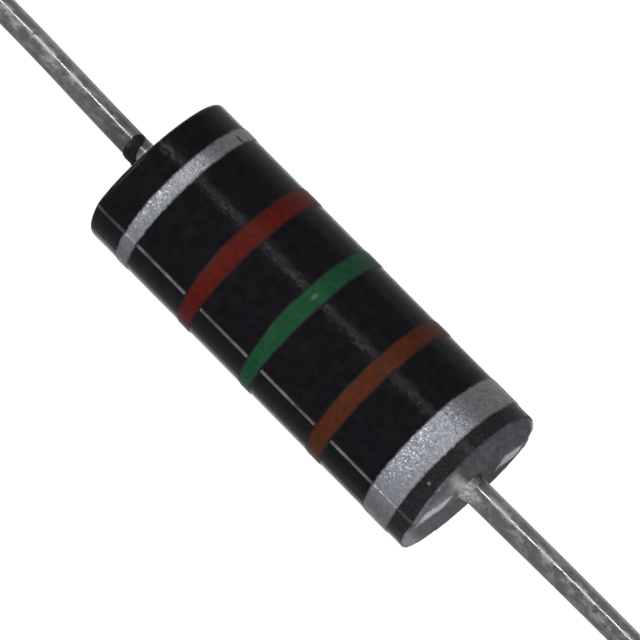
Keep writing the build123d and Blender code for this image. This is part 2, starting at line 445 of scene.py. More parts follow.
black_epoxy, tree, place = new_material("black_epoxy_moulding_compound_satin")
axial, across, out, from_top, from_side = (
    add(tree, "VectorMath", {0: place, 1: tuple(direction)}, "Value", operation="DOT_PRODUCT")
    for direction in (AXIS, ALONG_SPLIT, OUT_OF_SPLIT, TO_TOP, TO_SIDE))
off_split = add(tree, "Math", {0: out}, operation="ABSOLUTE")
from_axis = add(tree, "VectorMath", {0: add(tree, "VectorMath", {0: place, 1: (0, 1, 1)},
                operation="MULTIPLY")}, "Value", operation="LENGTH")
cloudy = add(tree, "TexNoise", {"Vector": place, "Scale": 1 / 0.22, "Detail": 4.0})
colour = add(tree, "Mix", {0: add(tree, "MapRange", {"Value": cloudy, "From Min": 0.35, "From Max": 0.68}),
             6: EPOXY_DARK, 7: EPOXY_LIGHT}, 2, data_type="RGBA")

# %% Rub the split line pale
on_side = add(tree, "MapRange", {"Value": from_axis, "From Min": 2.00, "From Max": 2.04})
patches = add(tree, "TexNoise", {"Vector": place, "Scale": 1 / 0.30, "Detail": 3.0})
worn = add(tree, "MapRange", {"Value": patches, "From Min": 0.32, "From Max": 0.62,
           "To Min": 0.25, "To Max": 0.85})
side_line = add(tree, "MapRange", {"Value": off_split, "From Min": 0.028, "From Max": 0.068,
                "To Min": 1.0, "To Max": 0.0}, interpolation_type="SMOOTHSTEP")
side_line = add(tree, "Math", {0: add(tree, "Math", {0: side_line, 1: on_side}, operation="MULTIPLY"),
                1: worn}, operation="MULTIPLY")
dying_out = add(tree, "MapRange", {"Value": stretch_of(tree, axial, -4.5, 4.5, 0.3), "To Min": 0.4})
side_line = add(tree, "Math", {0: side_line, 1: dying_out}, operation="MULTIPLY")
colour = add(tree, "Mix", {0: side_line, 6: colour, 7: SCUFF_AND_HIGHLIGHT}, 2, data_type="RGBA")

# %% [markdown]
# ## End faces
#
# The end faces are duller than the barrel. Their grey is a wiped haze together with a
# painted reflection of the pale surroundings, which they face at a slant. Pale streaks
# along their ridges on both sides of the lead, more on the right face than on the left,
# and the paler lower part of the right face are painted reflections, and the pale line
# round the rims, strongest underneath, is a painted highlight. Dust lies round the right
# lead and is smeared from it to the rim, and above the lead it turns dark olive as
# painted shade. Each mark is a product of soft stretches along the mould's or the
# picture's directions, broken up by noise.

# %% Haze the end faces and paint their reflection
FACE_DIM, FACE_PALE = "#313034", "#545458"

from_middle = add(tree, "Math", {0: axial}, operation="ABSOLUTE")
right_end = add(tree, "Math", {0: axial, 1: 0.0}, operation="GREATER_THAN")
face_depth = add(tree, "Math", {0: off_split, 1: tan(END_DRAFT), 2: from_middle}, operation="MULTIPLY_ADD")
face_depth = add(tree, "Math", {0: right_end, 1: 0.045, 2: face_depth}, operation="MULTIPLY_ADD")
face_depth = add(tree, "Math", {0: patches, 1: 0.05, 2: face_depth}, operation="MULTIPLY_ADD")
on_face = add(tree, "MapRange", {"Value": face_depth, "From Min": HALF_LENGTH - 0.02,
              "From Max": HALF_LENGTH + 0.01}, interpolation_type="SMOOTHSTEP")
on_right_face = add(tree, "Math", {0: on_face, 1: right_end}, operation="MULTIPLY")
wiped = add(tree, "CombineXYZ", {0: from_side, 1: add(tree, "Math", {0: from_top, 1: 0.25},
            operation="MULTIPLY"), 2: axial})
# The faces' grey is partly a dull haze and partly a painted reflection of the pale surroundings.
haze_and_reflection = add(tree, "TexNoise", {"Vector": wiped, "Scale": 1 / 0.16, "Detail": 5.0, "Roughness": 0.65})
haze_and_reflection = add(tree, "Mix", {0: add(tree, "MapRange", {"Value": haze_and_reflection, "From Min": 0.34, "From Max": 0.66}),
           6: FACE_DIM, 7: FACE_PALE}, 2, data_type="RGBA")
colour = add(tree, "Mix", {0: on_face, 6: colour, 7: haze_and_reflection}, 2, data_type="RGBA")

# %% Paint pale reflections on the ridges and a highlight on the rims
fine_noise = add(tree, "TexNoise", {"Vector": place, "Scale": 1 / 0.10, "Detail": 3.0, "Roughness": 0.6})
# Pale streaks along the ridges of the end faces: painted reflections of the bright surroundings.
off_ridge = add(tree, "Math", {0: fine_noise, 1: 0.36, 2: off_split}, operation="MULTIPLY_ADD")
ridge = add(tree, "MapRange", {"Value": off_ridge, "From Min": 0.31, "From Max": 0.54,
            "To Min": 1.0, "To Max": 0.0}, interpolation_type="SMOOTHSTEP")
ridge = add(tree, "Math", {0: ridge, 1: add(tree, "MapRange", {"Value": patches, "From Min": 0.3,
            "From Max": 0.6, "To Min": 0.75, "To Max": 1.05})}, operation="MULTIPLY")
upper_streak = add(tree, "Math", {0: stretch_of(tree, across, 1.10, 1.82, 0.10), 1: 0.90},
                operation="MULTIPLY")
lower_streak = stretch_of(tree, across, -1.88, -0.78, 0.12)
painted_reflection = add(tree, "Math", {0: upper_streak, 1: lower_streak}, operation="MAXIMUM")
painted_reflection = add(tree, "Math", {0: painted_reflection, 1: ridge}, operation="MULTIPLY")
painted_reflection = add(tree, "Math", {0: painted_reflection, 1: on_face}, operation="MULTIPLY")
painted_reflection = add(tree, "Math", {0: painted_reflection, 1: add(tree, "Math", {0: right_end, 1: 0.65, 2: 0.35},
          operation="MULTIPLY_ADD")}, operation="MULTIPLY")
# A pale line round the rims, strongest underneath: a painted highlight on the rounded rim.
rim_highlight = add(tree, "Math", {0: stretch_of(tree, from_axis, 1.96, 2.10, 0.03),
               1: add(tree, "MapRange", {"Value": patches, "From Min": 0.40, "From Max": 0.62,
                      "To Min": 0.15, "To Max": 0.6})}, operation="MULTIPLY")
underneath = add(tree, "MapRange", {"Value": from_top, "From Min": -0.3, "From Max": 0.5,
                 "To Min": 1.0, "To Max": 0.0})
near_rim = add(tree, "MapRange", {"Value": from_side, "From Min": -1.2, "From Max": 0.2, "To Min": 0.45,
               "To Max": 0.0})
underneath = add(tree, "Math", {0: underneath, 1: near_rim}, operation="MAXIMUM")
rim_highlight = add(tree, "Math", {0: rim_highlight, 1: underneath}, operation="MULTIPLY")
rim_highlight = add(tree, "Math", {0: rim_highlight, 1: on_face}, operation="MULTIPLY")
# The right face is painted paler towards its lower side and its lower end: painted reflection.
low_half = add(tree, "MapRange", {"Value": from_side, "From Min": -0.4, "From Max": -0.2,
               "To Min": 0.07, "To Max": 0.0})
near_half = add(tree, "Math", {0: stretch_of(tree, from_side, -1.4, -0.1, 0.25),
                1: stretch_of(tree, from_top, 0.7, 1.5, 0.3)}, operation="MULTIPLY")
near_half = add(tree, "Math", {0: near_half, 1: 0.15, 2: low_half}, operation="MULTIPLY_ADD")
low_end = add(tree, "MapRange", {"Value": from_side, "From Min": -1.88, "From Max": -1.46,
              "To Min": 0.42, "To Max": 0.0}, interpolation_type="SMOOTHSTEP")
lower_face_reflection = add(tree, "Math", {0: near_half, 1: low_end}, operation="MAXIMUM")
lower_face_reflection = add(tree, "Math", {0: lower_face_reflection, 1: add(tree, "MapRange", {"Value": patches, "From Min": 0.3,
            "From Max": 0.7, "To Min": 0.6, "To Max": 1.4})}, operation="MULTIPLY")
lower_face_reflection = add(tree, "Math", {0: lower_face_reflection, 1: on_right_face}, operation="MULTIPLY")
for share in (rim_highlight, lower_face_reflection):
    painted_reflection = add(tree, "Math", {0: painted_reflection, 1: share}, operation="MAXIMUM")
colour = add(tree, "Mix", {0: painted_reflection, 6: colour, 7: PAINTED_REFLECTION_PALE}, 2, data_type="RGBA")

# %% Leave dust beside the right lead, with painted shade above it
smear = add(tree, "Math", {0: stretch_of(tree, from_side, -0.26, -0.03, 0.12),
            1: stretch_of(tree, from_top, 0.1, 2.02, 0.1)}, operation="MULTIPLY")
blotches = add(tree, "TexNoise", {"Vector": wiped, "Scale": 1 / 0.10, "Detail": 5.0, "Roughness": 0.7})
smear = add(tree, "Math", {0: smear, 1: add(tree, "MapRange", {"Value": blotches, "From Min": 0.34,
            "From Max": 0.62, "To Min": 0.45, "To Max": 0.95})}, operation="MULTIPLY")
thinner = add(tree, "MapRange", {"Value": from_top, "From Min": 0.5, "From Max": 2.0, "To Min": 1.2,
              "To Max": 0.70})
smear = add(tree, "Math", {0: smear, 1: thinner}, operation="MULTIPLY")
round_lead = add(tree, "Math", {0: fine_noise, 1: 0.30, 2: from_axis}, operation="MULTIPLY_ADD")
round_lead = add(tree, "MapRange", {"Value": round_lead, "From Min": 0.48, "From Max": 0.60,
                 "To Min": 0.55, "To Max": 0.0}, interpolation_type="SMOOTHSTEP")
smear = add(tree, "Math", {0: smear, 1: round_lead}, operation="MAXIMUM")
smear = add(tree, "Math", {0: smear, 1: on_right_face}, operation="MULTIPLY")
# Above the lead the smear turns dark olive, which is painted shade; below it is pale dust.
shaded_upper_side = add(tree, "MapRange", {"Value": from_side, "From Min": 0.02, "From Max": 0.20})
dust_and_shade_colour = add(tree, "Mix", {0: shaded_upper_side, 6: RESIDUE, 7: "#3E3D33"}, 2, data_type="RGBA")
colour = add(tree, "Mix", {0: smear, 6: colour, 7: dust_and_shade_colour}, 2, data_type="RGBA")

# %% [markdown]
# ## Specks and scuffs
#
# The strip between the wide silver band and the right end is greyed by fine specks of
# the band's paint, with two larger grains. Along the crown of the barrel a thin, broken
# line of pale specks is a painted highlight, where the slim lamp's line falls.

# %% Dust the strip beside the wide silver band
GRAINS = ((-17.5, BODY_RADIUS, 4.83), (-15.8, 2.03, 5.10))      # turn, radius and place along

strip = add(tree, "MapRange", {"Value": axial, "From Min": 4.50, "From Max": 4.72},
            interpolation_type="SMOOTHSTEP")
specks = add(tree, "TexNoise", {"Vector": place, "Scale": 1 / 0.06, "Detail": 2.0})
specks = add(tree, "MapRange", {"Value": specks, "From Min": 0.40, "From Max": 0.80,
             "To Min": 0.04, "To Max": 0.13})
dust = add(tree, "Math", {0: strip, 1: specks}, operation="MULTIPLY")
for turn, radius, along in GRAINS:
    grain = add(tree, "VectorMath", {0: place, 1: tuple(around(turn) * radius + AXIS * along)}, "Value",
                operation="DISTANCE")
    grain = add(tree, "MapRange", {"Value": grain, "From Min": 0.02, "From Max": 0.05, "To Min": 0.9,
                "To Max": 0.0})
    dust = add(tree, "Math", {0: dust, 1: grain}, operation="MAXIMUM")
colour = add(tree, "Mix", {0: dust, 6: colour, 7: SCUFF_AND_HIGHLIGHT}, 2, data_type="RGBA")

# %% Paint a broken highlight along the crown, most of all near the left end
# Painted highlight: pale specks along the line where the slim lamp's highlight falls on the crown.
crown = add(tree, "Math", {0: stretch_of(tree, from_side, 0.40, 0.58, 0.09),
            1: add(tree, "Math", {0: from_top, 1: 0.0}, operation="GREATER_THAN")}, operation="MULTIPLY")
crown_highlight = add(tree, "TexNoise", {"Vector": place, "Scale": 1 / 0.11, "Detail": 3.0})
crown_highlight = add(tree, "MapRange", {"Value": crown_highlight, "From Min": 0.48, "From Max": 0.70,
             "To Max": 0.11}, interpolation_type="SMOOTHSTEP")
stronger = add(tree, "MapRange", {"Value": axial, "From Min": -4.7, "From Max": -4.2,
               "To Min": 2.0, "To Max": 1.0})
crown_highlight = add(tree, "Math", {0: crown_highlight, 1: stronger}, operation="MULTIPLY")
crown_highlight = add(tree, "Math", {0: crown_highlight, 1: crown}, operation="MULTIPLY")
colour = add(tree, "Mix", {0: crown_highlight, 6: colour, 7: SCUFF_AND_HIGHLIGHT}, 2, data_type="RGBA")

# %% [markdown]
# ## Sheen of the epoxy
#
# The barrel is satin, duller beside the rims, and the end faces are nearly matte. The
# specular level is low, because the photograph shows a deep black.

# %% Give the epoxy its sheen
grain = add(tree, "TexNoise", {"Vector": place, "Scale": 1 / 0.08, "Detail": 2.0})
relief = add(tree, "Math", {0: cloudy, 1: 1.2, 2: grain}, operation="MULTIPLY_ADD")
bump = add(tree, "Bump", {"Height": relief, "Strength": 1.0, "Distance": 0.0000045})
satin = add(tree, "MapRange", {"Value": cloudy, "From Min": 0.3, "From Max": 0.7,
            "To Min": 0.18, "To Max": 0.25})
dull = add(tree, "MapRange", {"Value": from_middle, "From Min": HALF_LENGTH - 0.20,
           "From Max": HALF_LENGTH - 0.08, "To Max": 0.5})
dull = add(tree, "Math", {0: dull, 1: on_face}, operation="MAXIMUM")
roughness = add(tree, "Mix", {0: dull, 2: satin, 3: 0.8}, 0, data_type="FLOAT")
sheen = add(tree, "BsdfPrincipled", {"Base Color": colour, "Specular IOR Level": 0.13, "IOR": 1.5,
            "Roughness": roughness, "Normal": bump})
add(tree, "OutputMaterial", {"Surface": sheen})

# %% [markdown]
# ## Paint bands
#
# A roller prints each band on the turning body. The paint follows every form under it,
# the fin too, so a band is a copy of the body's own skin between two cuts, thickened
# outward by less than a fiftieth of a millimetre. The roller presses harder on one
# side, so a band is a little narrower on the other, and its edges wander. They run thin
# too, so the black shows through there. Each band's mesh carries that as an attribute,
# cover, which its material reads.
#
# Marking enamel is a thick satin paint, so it gets two close shades of one colour and a
# soft sheen.

# %% Mix the enamels
PAINT_RADIUS = 2.07


def paint_cover(tree, place):
    """How fully a band's paint hides the moulding, from nought at its edges to one."""
    ragged = add(tree, "TexNoise", {"Vector": place, "Scale": 1 / 0.06, "Detail": 3.0})
    cover = add(tree, "Attribute", {}, "Fac", attribute_name="cover")
    cover = add(tree, "Math", {0: ragged, 1: 0.6, 2: cover}, operation="MULTIPLY_ADD")
    return add(tree, "MapRange", {"Value": cover, "From Min": 0.45, "From Max": 1.15})


def marking_enamel(name, thin, thick, glint_at=None):
    """A satin marking enamel between two shades of its colour. Glint_at is the place of a
    small painted highlight on the paint."""
    material, tree, place = new_material(name)
    cloudy = add(tree, "TexNoise", {"Vector": place, "Scale": 1 / 0.18, "Detail": 5.0, "Roughness": 0.7})
    cloudy = add(tree, "MapRange", {"Value": cloudy, "From Min": 0.3, "From Max": 0.7})
    colour = add(tree, "Mix", {0: cloudy, 6: thin, 7: thick}, 2, data_type="RGBA")
    colour = add(tree, "Mix", {0: paint_cover(tree, place), 6: EPOXY_LIGHT, 7: colour}, 2,
                 data_type="RGBA")
    # A small pale spot on the paint: a painted highlight.
    if glint_at:
        away = add(tree, "VectorMath", {0: place, 1: (1.0, 0.5, 0.5)}, operation="MULTIPLY")
        away = add(tree, "VectorMath", {0: away, 1: (glint_at.x, glint_at.y / 2, glint_at.z / 2)}, "Value",
                   operation="DISTANCE")
        pale = add(tree, "MapRange", {"Value": away, "From Min": 0.01, "From Max": 0.08,
                   "To Min": 0.15, "To Max": 0.0}, interpolation_type="SMOOTHSTEP")
        colour = add(tree, "Mix", {0: pale, 6: colour, 7: "#C4C4C0"}, 2, data_type="RGBA")
    peel = add(tree, "TexNoise", {"Vector": place, "Scale": 1 / 0.09, "Detail": 2.0})
    bump = add(tree, "Bump", {"Height": peel, "Strength": 1.0, "Distance": 0.000003})
    sheen = add(tree, "BsdfPrincipled", {"Base Color": colour, "Roughness": 0.40, "IOR": 1.5,
                "Specular IOR Level": 0.15, "Normal": bump})
    add(tree, "OutputMaterial", {"Surface": sheen})
    return material


red_enamel = marking_enamel("red_marking_enamel_rolled", "#4D130D", "#671D15")
green_enamel = marking_enamel("green_marking_enamel_rolled", "#164328", "#205938",
                              around(14.0) * PAINT_RADIUS + AXIS * -0.024)
brown_enamel = marking_enamel("brown_marking_enamel_rolled", "#48220F", "#603018")

# %% [markdown]
# ## Silver paint
#
# The silver is aluminium flake in clear lacquer. Its flakes lie at slightly different
# angles, so single ones flash while their neighbours stay dull. Real flakes are about
# 0.02 mm; these are 0.032 mm so that they show. Towards both sides of the body the
# paint is darkened grey as painted shade, and a small chip in the narrow band shows the
# black.

# %% Mix the silver paint
FLAKE = 0.032
CHIP = around(60.7) * PAINT_RADIUS + AXIS * -3.99
CHIP_SQUEEZE = 0.45            # makes the chip longer along the axis than across

silver_paint, tree, place = new_material("aluminium_flake_lacquer_rolled")
flakes = add(tree, "TexVoronoi", {"Vector": place, "Scale": 1 / FLAKE}, "Color")
tilt = add(tree, "VectorMath", {0: flakes, 1: (-0.5, -0.5, -0.5)}, operation="ADD")
tilt = add(tree, "VectorMath", {0: tilt, "Scale": 0.42}, operation="SCALE")
facing = add(tree, "VectorMath", {0: add(tree, "NewGeometry", {}, "Normal"), 1: tilt}, operation="ADD")
facing = add(tree, "VectorMath", {0: facing}, operation="NORMALIZE")
patchy = add(tree, "TexNoise", {"Vector": place, "Scale": 1 / 0.14, "Detail": 4.0, "Roughness": 0.6})
patchy = add(tree, "MapRange", {"Value": patchy, "From Min": 0.3, "From Max": 0.7})
colour = add(tree, "Mix", {0: patchy, 6: "#9EA0A9", 7: "#C9CBD4"}, 2, data_type="RGBA")
glints = add(tree, "TexNoise", {"Vector": place, "Scale": 1 / 0.06, "Detail": 1.0})
glints = add(tree, "MapRange", {"Value": glints, "From Min": 0.35, "From Max": 0.65, "To Max": 0.7})
colour = add(tree, "Mix", {0: glints, 6: colour, 7: "#D7D9E0"}, 2, data_type="RGBA")
# Painted shade: the silver greys towards both sides of the body, sooner on one side.
sideways = add(tree, "VectorMath", {0: place, 1: tuple(TO_SIDE)}, "Value", operation="DOT_PRODUCT")
unshaded_middle = stretch_of(tree, sideways, -1.66, 0.98, 0.36)
cover = add(tree, "Mix", {0: unshaded_middle, 6: "#CDCAC5", 7: "#FFFFFF"}, 2, data_type="RGBA")
colour = add(tree, "Mix", {0: 1.0, 6: colour, 7: cover}, 2, data_type="RGBA", blend_type="MULTIPLY")
chip = add(tree, "VectorMath", {0: place, 1: (CHIP_SQUEEZE, 1.0, 1.0)}, operation="MULTIPLY")
chip = add(tree, "VectorMath", {0: chip, 1: (CHIP.x * CHIP_SQUEEZE, CHIP.y, CHIP.z)}, "Value",
           operation="DISTANCE")
chip = add(tree, "Math", {0: add(tree, "TexNoise", {"Vector": place, "Scale": 1 / 0.06}), 1: -0.06,
           2: chip}, operation="MULTIPLY_ADD")
paint = add(tree, "MapRange", {"Value": chip, "From Min": 0.010, "From Max": 0.030})
paint = add(tree, "Math", {0: paint, 1: paint_cover(tree, place)}, operation="MULTIPLY")
colour = add(tree, "Mix", {0: paint, 6: EPOXY_LIGHT, 7: colour}, 2, data_type="RGBA")
metallic = add(tree, "Math", {0: paint, 1: 0.75}, operation="MULTIPLY")
sheen = add(tree, "BsdfPrincipled", {"Base Color": colour, "Metallic": metallic, "Roughness": 0.38,
            "Normal": facing})
add(tree, "OutputMaterial", {"Surface": sheen})

# %% [markdown]
# ## Rolling the bands on
#
# A copy of the body is cut off on both sides of the band, a little wide, and cut twice
# more where its paint reaches full cover. Squeezing one side with proportional editing
# narrows the band gently there, two cloud patterns make its edges wander, and Solidify
# gives the film its thickness, next to nothing at the edges.

# %% Roll the bands on
FILM = 0.016                   # thickness of the paint
FILM_AT_EDGE = 0.05            # as a share of the thickness
PAINT_FADE = 0.09              # width over which the paint runs thin
ROLLER_WANDER = clouds("roller_wander", 0.45)
ROLLER_GRAIN = clouds("roller_grain", 0.10)


def roll_band(node, material, slot, squeeze):
    """Paints a band where the CAD model has it. Squeeze is its width on the side that
    the roller pressed least, as a share of the whole width."""
    low, high = (corner.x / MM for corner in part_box(node))
    deselect()
    body.select_set(True)
    bpy.context.view_layer.objects.active = body
    bpy.ops.object.duplicate()
    band = bpy.context.object
    bpy.ops.object.mode_set(mode="EDIT")
    fade = PAINT_FADE / 2
    for cut, before, after in ((low - fade, True, False), (high + fade, False, True),
                               (low + fade, False, False), (high - fade, False, False)):
        bpy.ops.mesh.select_all(action="SELECT")
        bpy.ops.mesh.bisect(plane_co=(cut, 0, 0), plane_no=AXIS, clear_inner=before,
                            clear_outer=after, threshold=1e-6)
    bpy.ops.object.mode_set(mode="OBJECT")
    cover = band.data.attributes.new("cover", "FLOAT", "POINT")
    inner = [v.index for v in band.data.vertices if low < v.co.x < high]
    for index in inner:
        cover.data[index].value = 1.0
    band.vertex_groups.new(name="film").add(inner, 1.0, "REPLACE")
    bpy.ops.object.mode_set(mode="EDIT")
    thin_side = -TO_SIDE * BODY_RADIUS
    pick(band, "verts", lambda v: (v.co - thin_side).yz.length < 0.25)
    bpy.ops.transform.resize(value=(squeeze, 1, 1), center_override=((low + high) / 2, 0, 0),
                             use_proportional_edit=True, proportional_edit_falloff="SMOOTH",
                             proportional_size=3.2)
    bpy.ops.object.mode_set(mode="OBJECT")
    for pattern, strength in ((ROLLER_WANDER, 0.05), (ROLLER_GRAIN, 0.035)):
        apply(band, "DISPLACE", texture=pattern, texture_coords="LOCAL", direction="X",
              strength=strength, mid_level=0.5)
    apply(band, "SOLIDIFY", thickness=FILM, offset=1.0, vertex_group="film",
          thickness_vertex_group=FILM_AT_EDGE)
    finish_piece(band, node + "_paint", slot, material, node)


roll_band("band_silver_narrow", silver_paint, "silver_paint", 0.90)
roll_band("band_red", red_enamel, "red_paint", 0.70)
roll_band("band_green", green_enamel, "green_paint", 0.70)
roll_band("band_brown", brown_enamel, "brown_paint", 0.92)
roll_band("band_silver_wide", silver_paint, "silver_paint", 0.97)
finish_piece(body, "moulded_epoxy", "epoxy_moulding", black_epoxy, "moulded_body")

# %% [markdown]
# ## Leads
#
# Each lead is soft copper wire, drawn through a die and dipped in molten tin. The bath
# leaves an uneven, slightly dull coat with long streaks, and a few dark pits. The wire
# is stained beside the left collar, and some pale dust lies on it at the right face.

# %% Mix the tin
tin, tree, place = new_material("tinned_copper_wire_hot_dipped")
drawn = add(tree, "VectorMath", {0: place, 1: (1 / 6, 1.0, 1.0)}, operation="MULTIPLY")
streaks = add(tree, "TexNoise", {"Vector": drawn, "Scale": 1 / 0.07, "Detail": 4.0})
drawn = add(tree, "VectorMath", {0: place, 1: (1 / 1.8, 1.0, 1.0)}, operation="MULTIPLY")
dull = add(tree, "TexNoise", {"Vector": drawn, "Scale": 1 / 0.18, "Detail": 4.0, "Roughness": 0.55})
dull = add(tree, "MapRange", {"Value": dull, "From Min": 0.38, "From Max": 0.66},
           interpolation_type="SMOOTHSTEP")
colour = add(tree, "Mix", {0: dull, 6: "#BAB9B8", 7: "#DAD9D9"}, 2, data_type="RGBA")
pits = add(tree, "TexNoise", {"Vector": place, "Scale": 1 / 0.09, "Detail": 2.0})
colour = add(tree, "Mix", {0: add(tree, "MapRange", {"Value": pits, "From Min": 0.62, "From Max": 0.76}),
             6: colour, 7: "#6F6F6A"}, 2, data_type="RGBA")
axial, from_top, from_side = (
    add(tree, "VectorMath", {0: place, 1: tuple(direction)}, "Value", operation="DOT_PRODUCT")
    for direction in (AXIS, TO_TOP, TO_SIDE))
dusty = add(tree, "Math", {0: stretch_of(tree, axial, 4.8, 5.68, 0.12),
            1: stretch_of(tree, from_side, -0.25, -0.02, 0.06)}, operation="MULTIPLY")
dusty = add(tree, "Math", {0: dusty, 1: add(tree, "MapRange", {"Value": pits, "From Min": 0.35,
            "From Max": 0.55, "To Min": 0.3, "To Max": 0.9})}, operation="MULTIPLY")
dusty = add(tree, "Math", {0: dusty, 1: add(tree, "Math", {0: from_top, 1: 0.0},
            operation="GREATER_THAN")}, operation="MULTIPLY")
colour = add(tree, "Mix", {0: dusty, 6: colour, 7: "#FFFFFF"}, 2, data_type="RGBA")
stain = add(tree, "MapRange", {"Value": axial, "From Min": -7.4, "From Max": -5.9, "To Max": 0.45},
            interpolation_type="SMOOTHSTEP")
stain = add(tree, "Math", {0: stain, 1: add(tree, "Math", {0: axial, 1: -5.5}, operation="LESS_THAN")},
            operation="MULTIPLY")
colour = add(tree, "Mix", {0: stain, 6: colour, 7: "#5C5A50"}, 2, data_type="RGBA")
bump = add(tree, "Bump", {"Height": streaks, "Strength": 1.0, "Distance": 0.000003})
roughness = add(tree, "MapRange", {"Value": dull, "To Min": 0.14, "To Max": 0.38})
roughness = add(tree, "Mix", {0: dusty, 2: roughness, 3: 0.7}, 0, data_type="FLOAT")
sheen = add(tree, "BsdfPrincipled", {"Base Color": colour, "Metallic": 1.0, "Roughness": roughness,
            "Normal": bump})
add(tree, "OutputMaterial", {"Surface": sheen})

# %% [markdown]
# ## Wire
#
# A wire that was cut, taped and cut off again is never quite straight, and the tin
# gathers a little where the wire meets the body. By hand it is a cylinder with many
# loops along it, swollen at one end, nudged by a slow cloud pattern and bent once by a
# proportional move, with its far rim rounded and its cut face sunk by the shear.

# %% Draw the leads
LEAD_ROOT, LEAD_TIP = 4.6, 32.185
LEAD_LOOPS, NEXT_TO = 100, 0.14        # a loop lies within 0.14 mm of any place
SHEAR_ROUND, SHEAR_INSET, SHEAR_SINK = 0.06, 0.08, 0.02
LEAD_SAG = clouds("lead_sag", 7.0, depth=0)


def draw_lead(node, end, swell, swell_length, bend_at, bend, reach):
    """One lead, from inside the body to its sheared tip, with one slight bend. Swell says
    how much thicker the tin makes it at the body, and over what length that dies out."""
    deselect()
    bpy.ops.mesh.primitive_cylinder_add(
        vertices=LEAD_SIDES, radius=LEAD_RADIUS, depth=LEAD_TIP - LEAD_ROOT,
        location=(end * (LEAD_ROOT + LEAD_TIP) / 2, 0, 0), rotation=(0, pi / 2, 0))
    lead = bpy.context.object
    bpy.ops.object.transform_apply(location=True, rotation=True)
    bpy.ops.object.mode_set(mode="EDIT")
    pick(lead, "edges", lambda edge: edge.calc_length() > 1)
    bpy.ops.mesh.subdivide(number_cuts=LEAD_LOOPS)
    pick(lead, "verts", lambda v: abs(v.co.x - end * HALF_LENGTH) < NEXT_TO)
    bpy.ops.transform.resize(value=(1, swell, swell), center_override=(0, 0, 0),
                             use_proportional_edit=True, proportional_edit_falloff="LINEAR",
                             proportional_size=swell_length)
    pick(lead, "edges", lambda edge: all(v.co.x * end > LEAD_TIP - 0.01 for v in edge.verts))
    bpy.ops.mesh.bevel(offset=SHEAR_ROUND, segments=3, affect="EDGES")
    pick(lead, "faces", lambda face: len(face.verts) > 8 and face.calc_center_median().x * end > 30)
    bpy.ops.mesh.inset(thickness=SHEAR_INSET)
    bpy.ops.transform.translate(value=(-end * SHEAR_SINK, 0, 0))
    bpy.ops.object.mode_set(mode="OBJECT")
    for direction in ("Y", "Z"):
        apply(lead, "DISPLACE", texture=LEAD_SAG, texture_coords="LOCAL", direction=direction,
              strength=0.05, mid_level=0.5)
    bpy.ops.object.mode_set(mode="EDIT")
    print("bend starts from", pick(lead, "verts", lambda v: abs(v.co.x - bend_at) < NEXT_TO), "vertices")
    bpy.ops.transform.translate(value=TO_SIDE * bend, use_proportional_edit=True,
                                proportional_edit_falloff="SMOOTH", proportional_size=reach)
    bpy.ops.object.mode_set(mode="OBJECT")
    finish_piece(lead, node + "_wire", "tinned_wire", tin, node)


draw_lead("lead_left", -1, swell=1.04, swell_length=3.0, bend_at=-10.3, bend=0.104, reach=5.5)
draw_lead("lead_right", 1, swell=1.08, swell_length=6.0, bend_at=11.5, bend=0.047, reach=13.5)

# %% [markdown]
# ## Resin on the leads
#
# Some resin creeps out along each lead before it sets. On the left it forms a black,
# lumpy collar that stands off the body, with bare tin between the two except along one
# side. On the right it is a low skirt that pale dust covers, and its upper side is
# painted dark olive as shade.

# %% Mix the crept resin
crept_resin, tree, place = new_material("crept_epoxy_glossy")
lumps = add(tree, "TexNoise", {"Vector": place, "Scale": 1 / 0.14, "Detail": 4.0})
colour = add(tree, "Mix", {0: add(tree, "MapRange", {"Value": lumps, "From Min": 0.35, "From Max": 0.7}),
             6: "#12120F", 7: "#2A2A24"}, 2, data_type="RGBA")
bump = add(tree, "Bump", {"Height": lumps, "Strength": 1.0, "Distance": 0.00002})
sheen = add(tree, "BsdfPrincipled", {"Base Color": colour, "Roughness": 0.42,
            "Specular IOR Level": 0.3, "Normal": bump})
add(tree, "OutputMaterial", {"Surface": sheen})

dusty_and_shaded_resin, tree, place = new_material("crept_epoxy_dusty_and_shaded")
lumps = add(tree, "TexNoise", {"Vector": place, "Scale": 1 / 0.09, "Detail": 4.0})
colour = add(tree, "Mix", {0: add(tree, "MapRange", {"Value": lumps, "From Min": 0.36, "From Max": 0.66}),
             6: "#8C8C84", 7: "#E0DFDA"}, 2, data_type="RGBA")
sideways = add(tree, "VectorMath", {0: place, 1: tuple(TO_SIDE)}, "Value", operation="DOT_PRODUCT")
# The skirt's upper side is painted dark olive as shade.
shaded_top = add(tree, "MapRange", {"Value": sideways, "From Min": 0.04, "From Max": 0.30})
colour = add(tree, "Mix", {0: shaded_top, 6: colour, 7: "#3A3A2F"}, 2, data_type="RGBA")
bump = add(tree, "Bump", {"Height": lumps, "Strength": 1.0, "Distance": 0.00001})
sheen = add(tree, "BsdfPrincipled", {"Base Color": colour, "Roughness": 0.6,
            "Specular IOR Level": 0.3, "Normal": bump})
add(tree, "OutputMaterial", {"Surface": sheen})

# %% [markdown]
# ## Collar and skirt
#
# Each is a ring of many loops round its lead. The loops are scaled one by one to the
# resin's profile, and a cloud pattern makes them lumpy. The collar leans towards the
# body on its lower side, where a neck of resin still joins the two.

# %% Shape the collar and the skirt
RESIN_LUMPS = clouds("resin_lumps", 0.18)
RESIN_LOOPS = 30


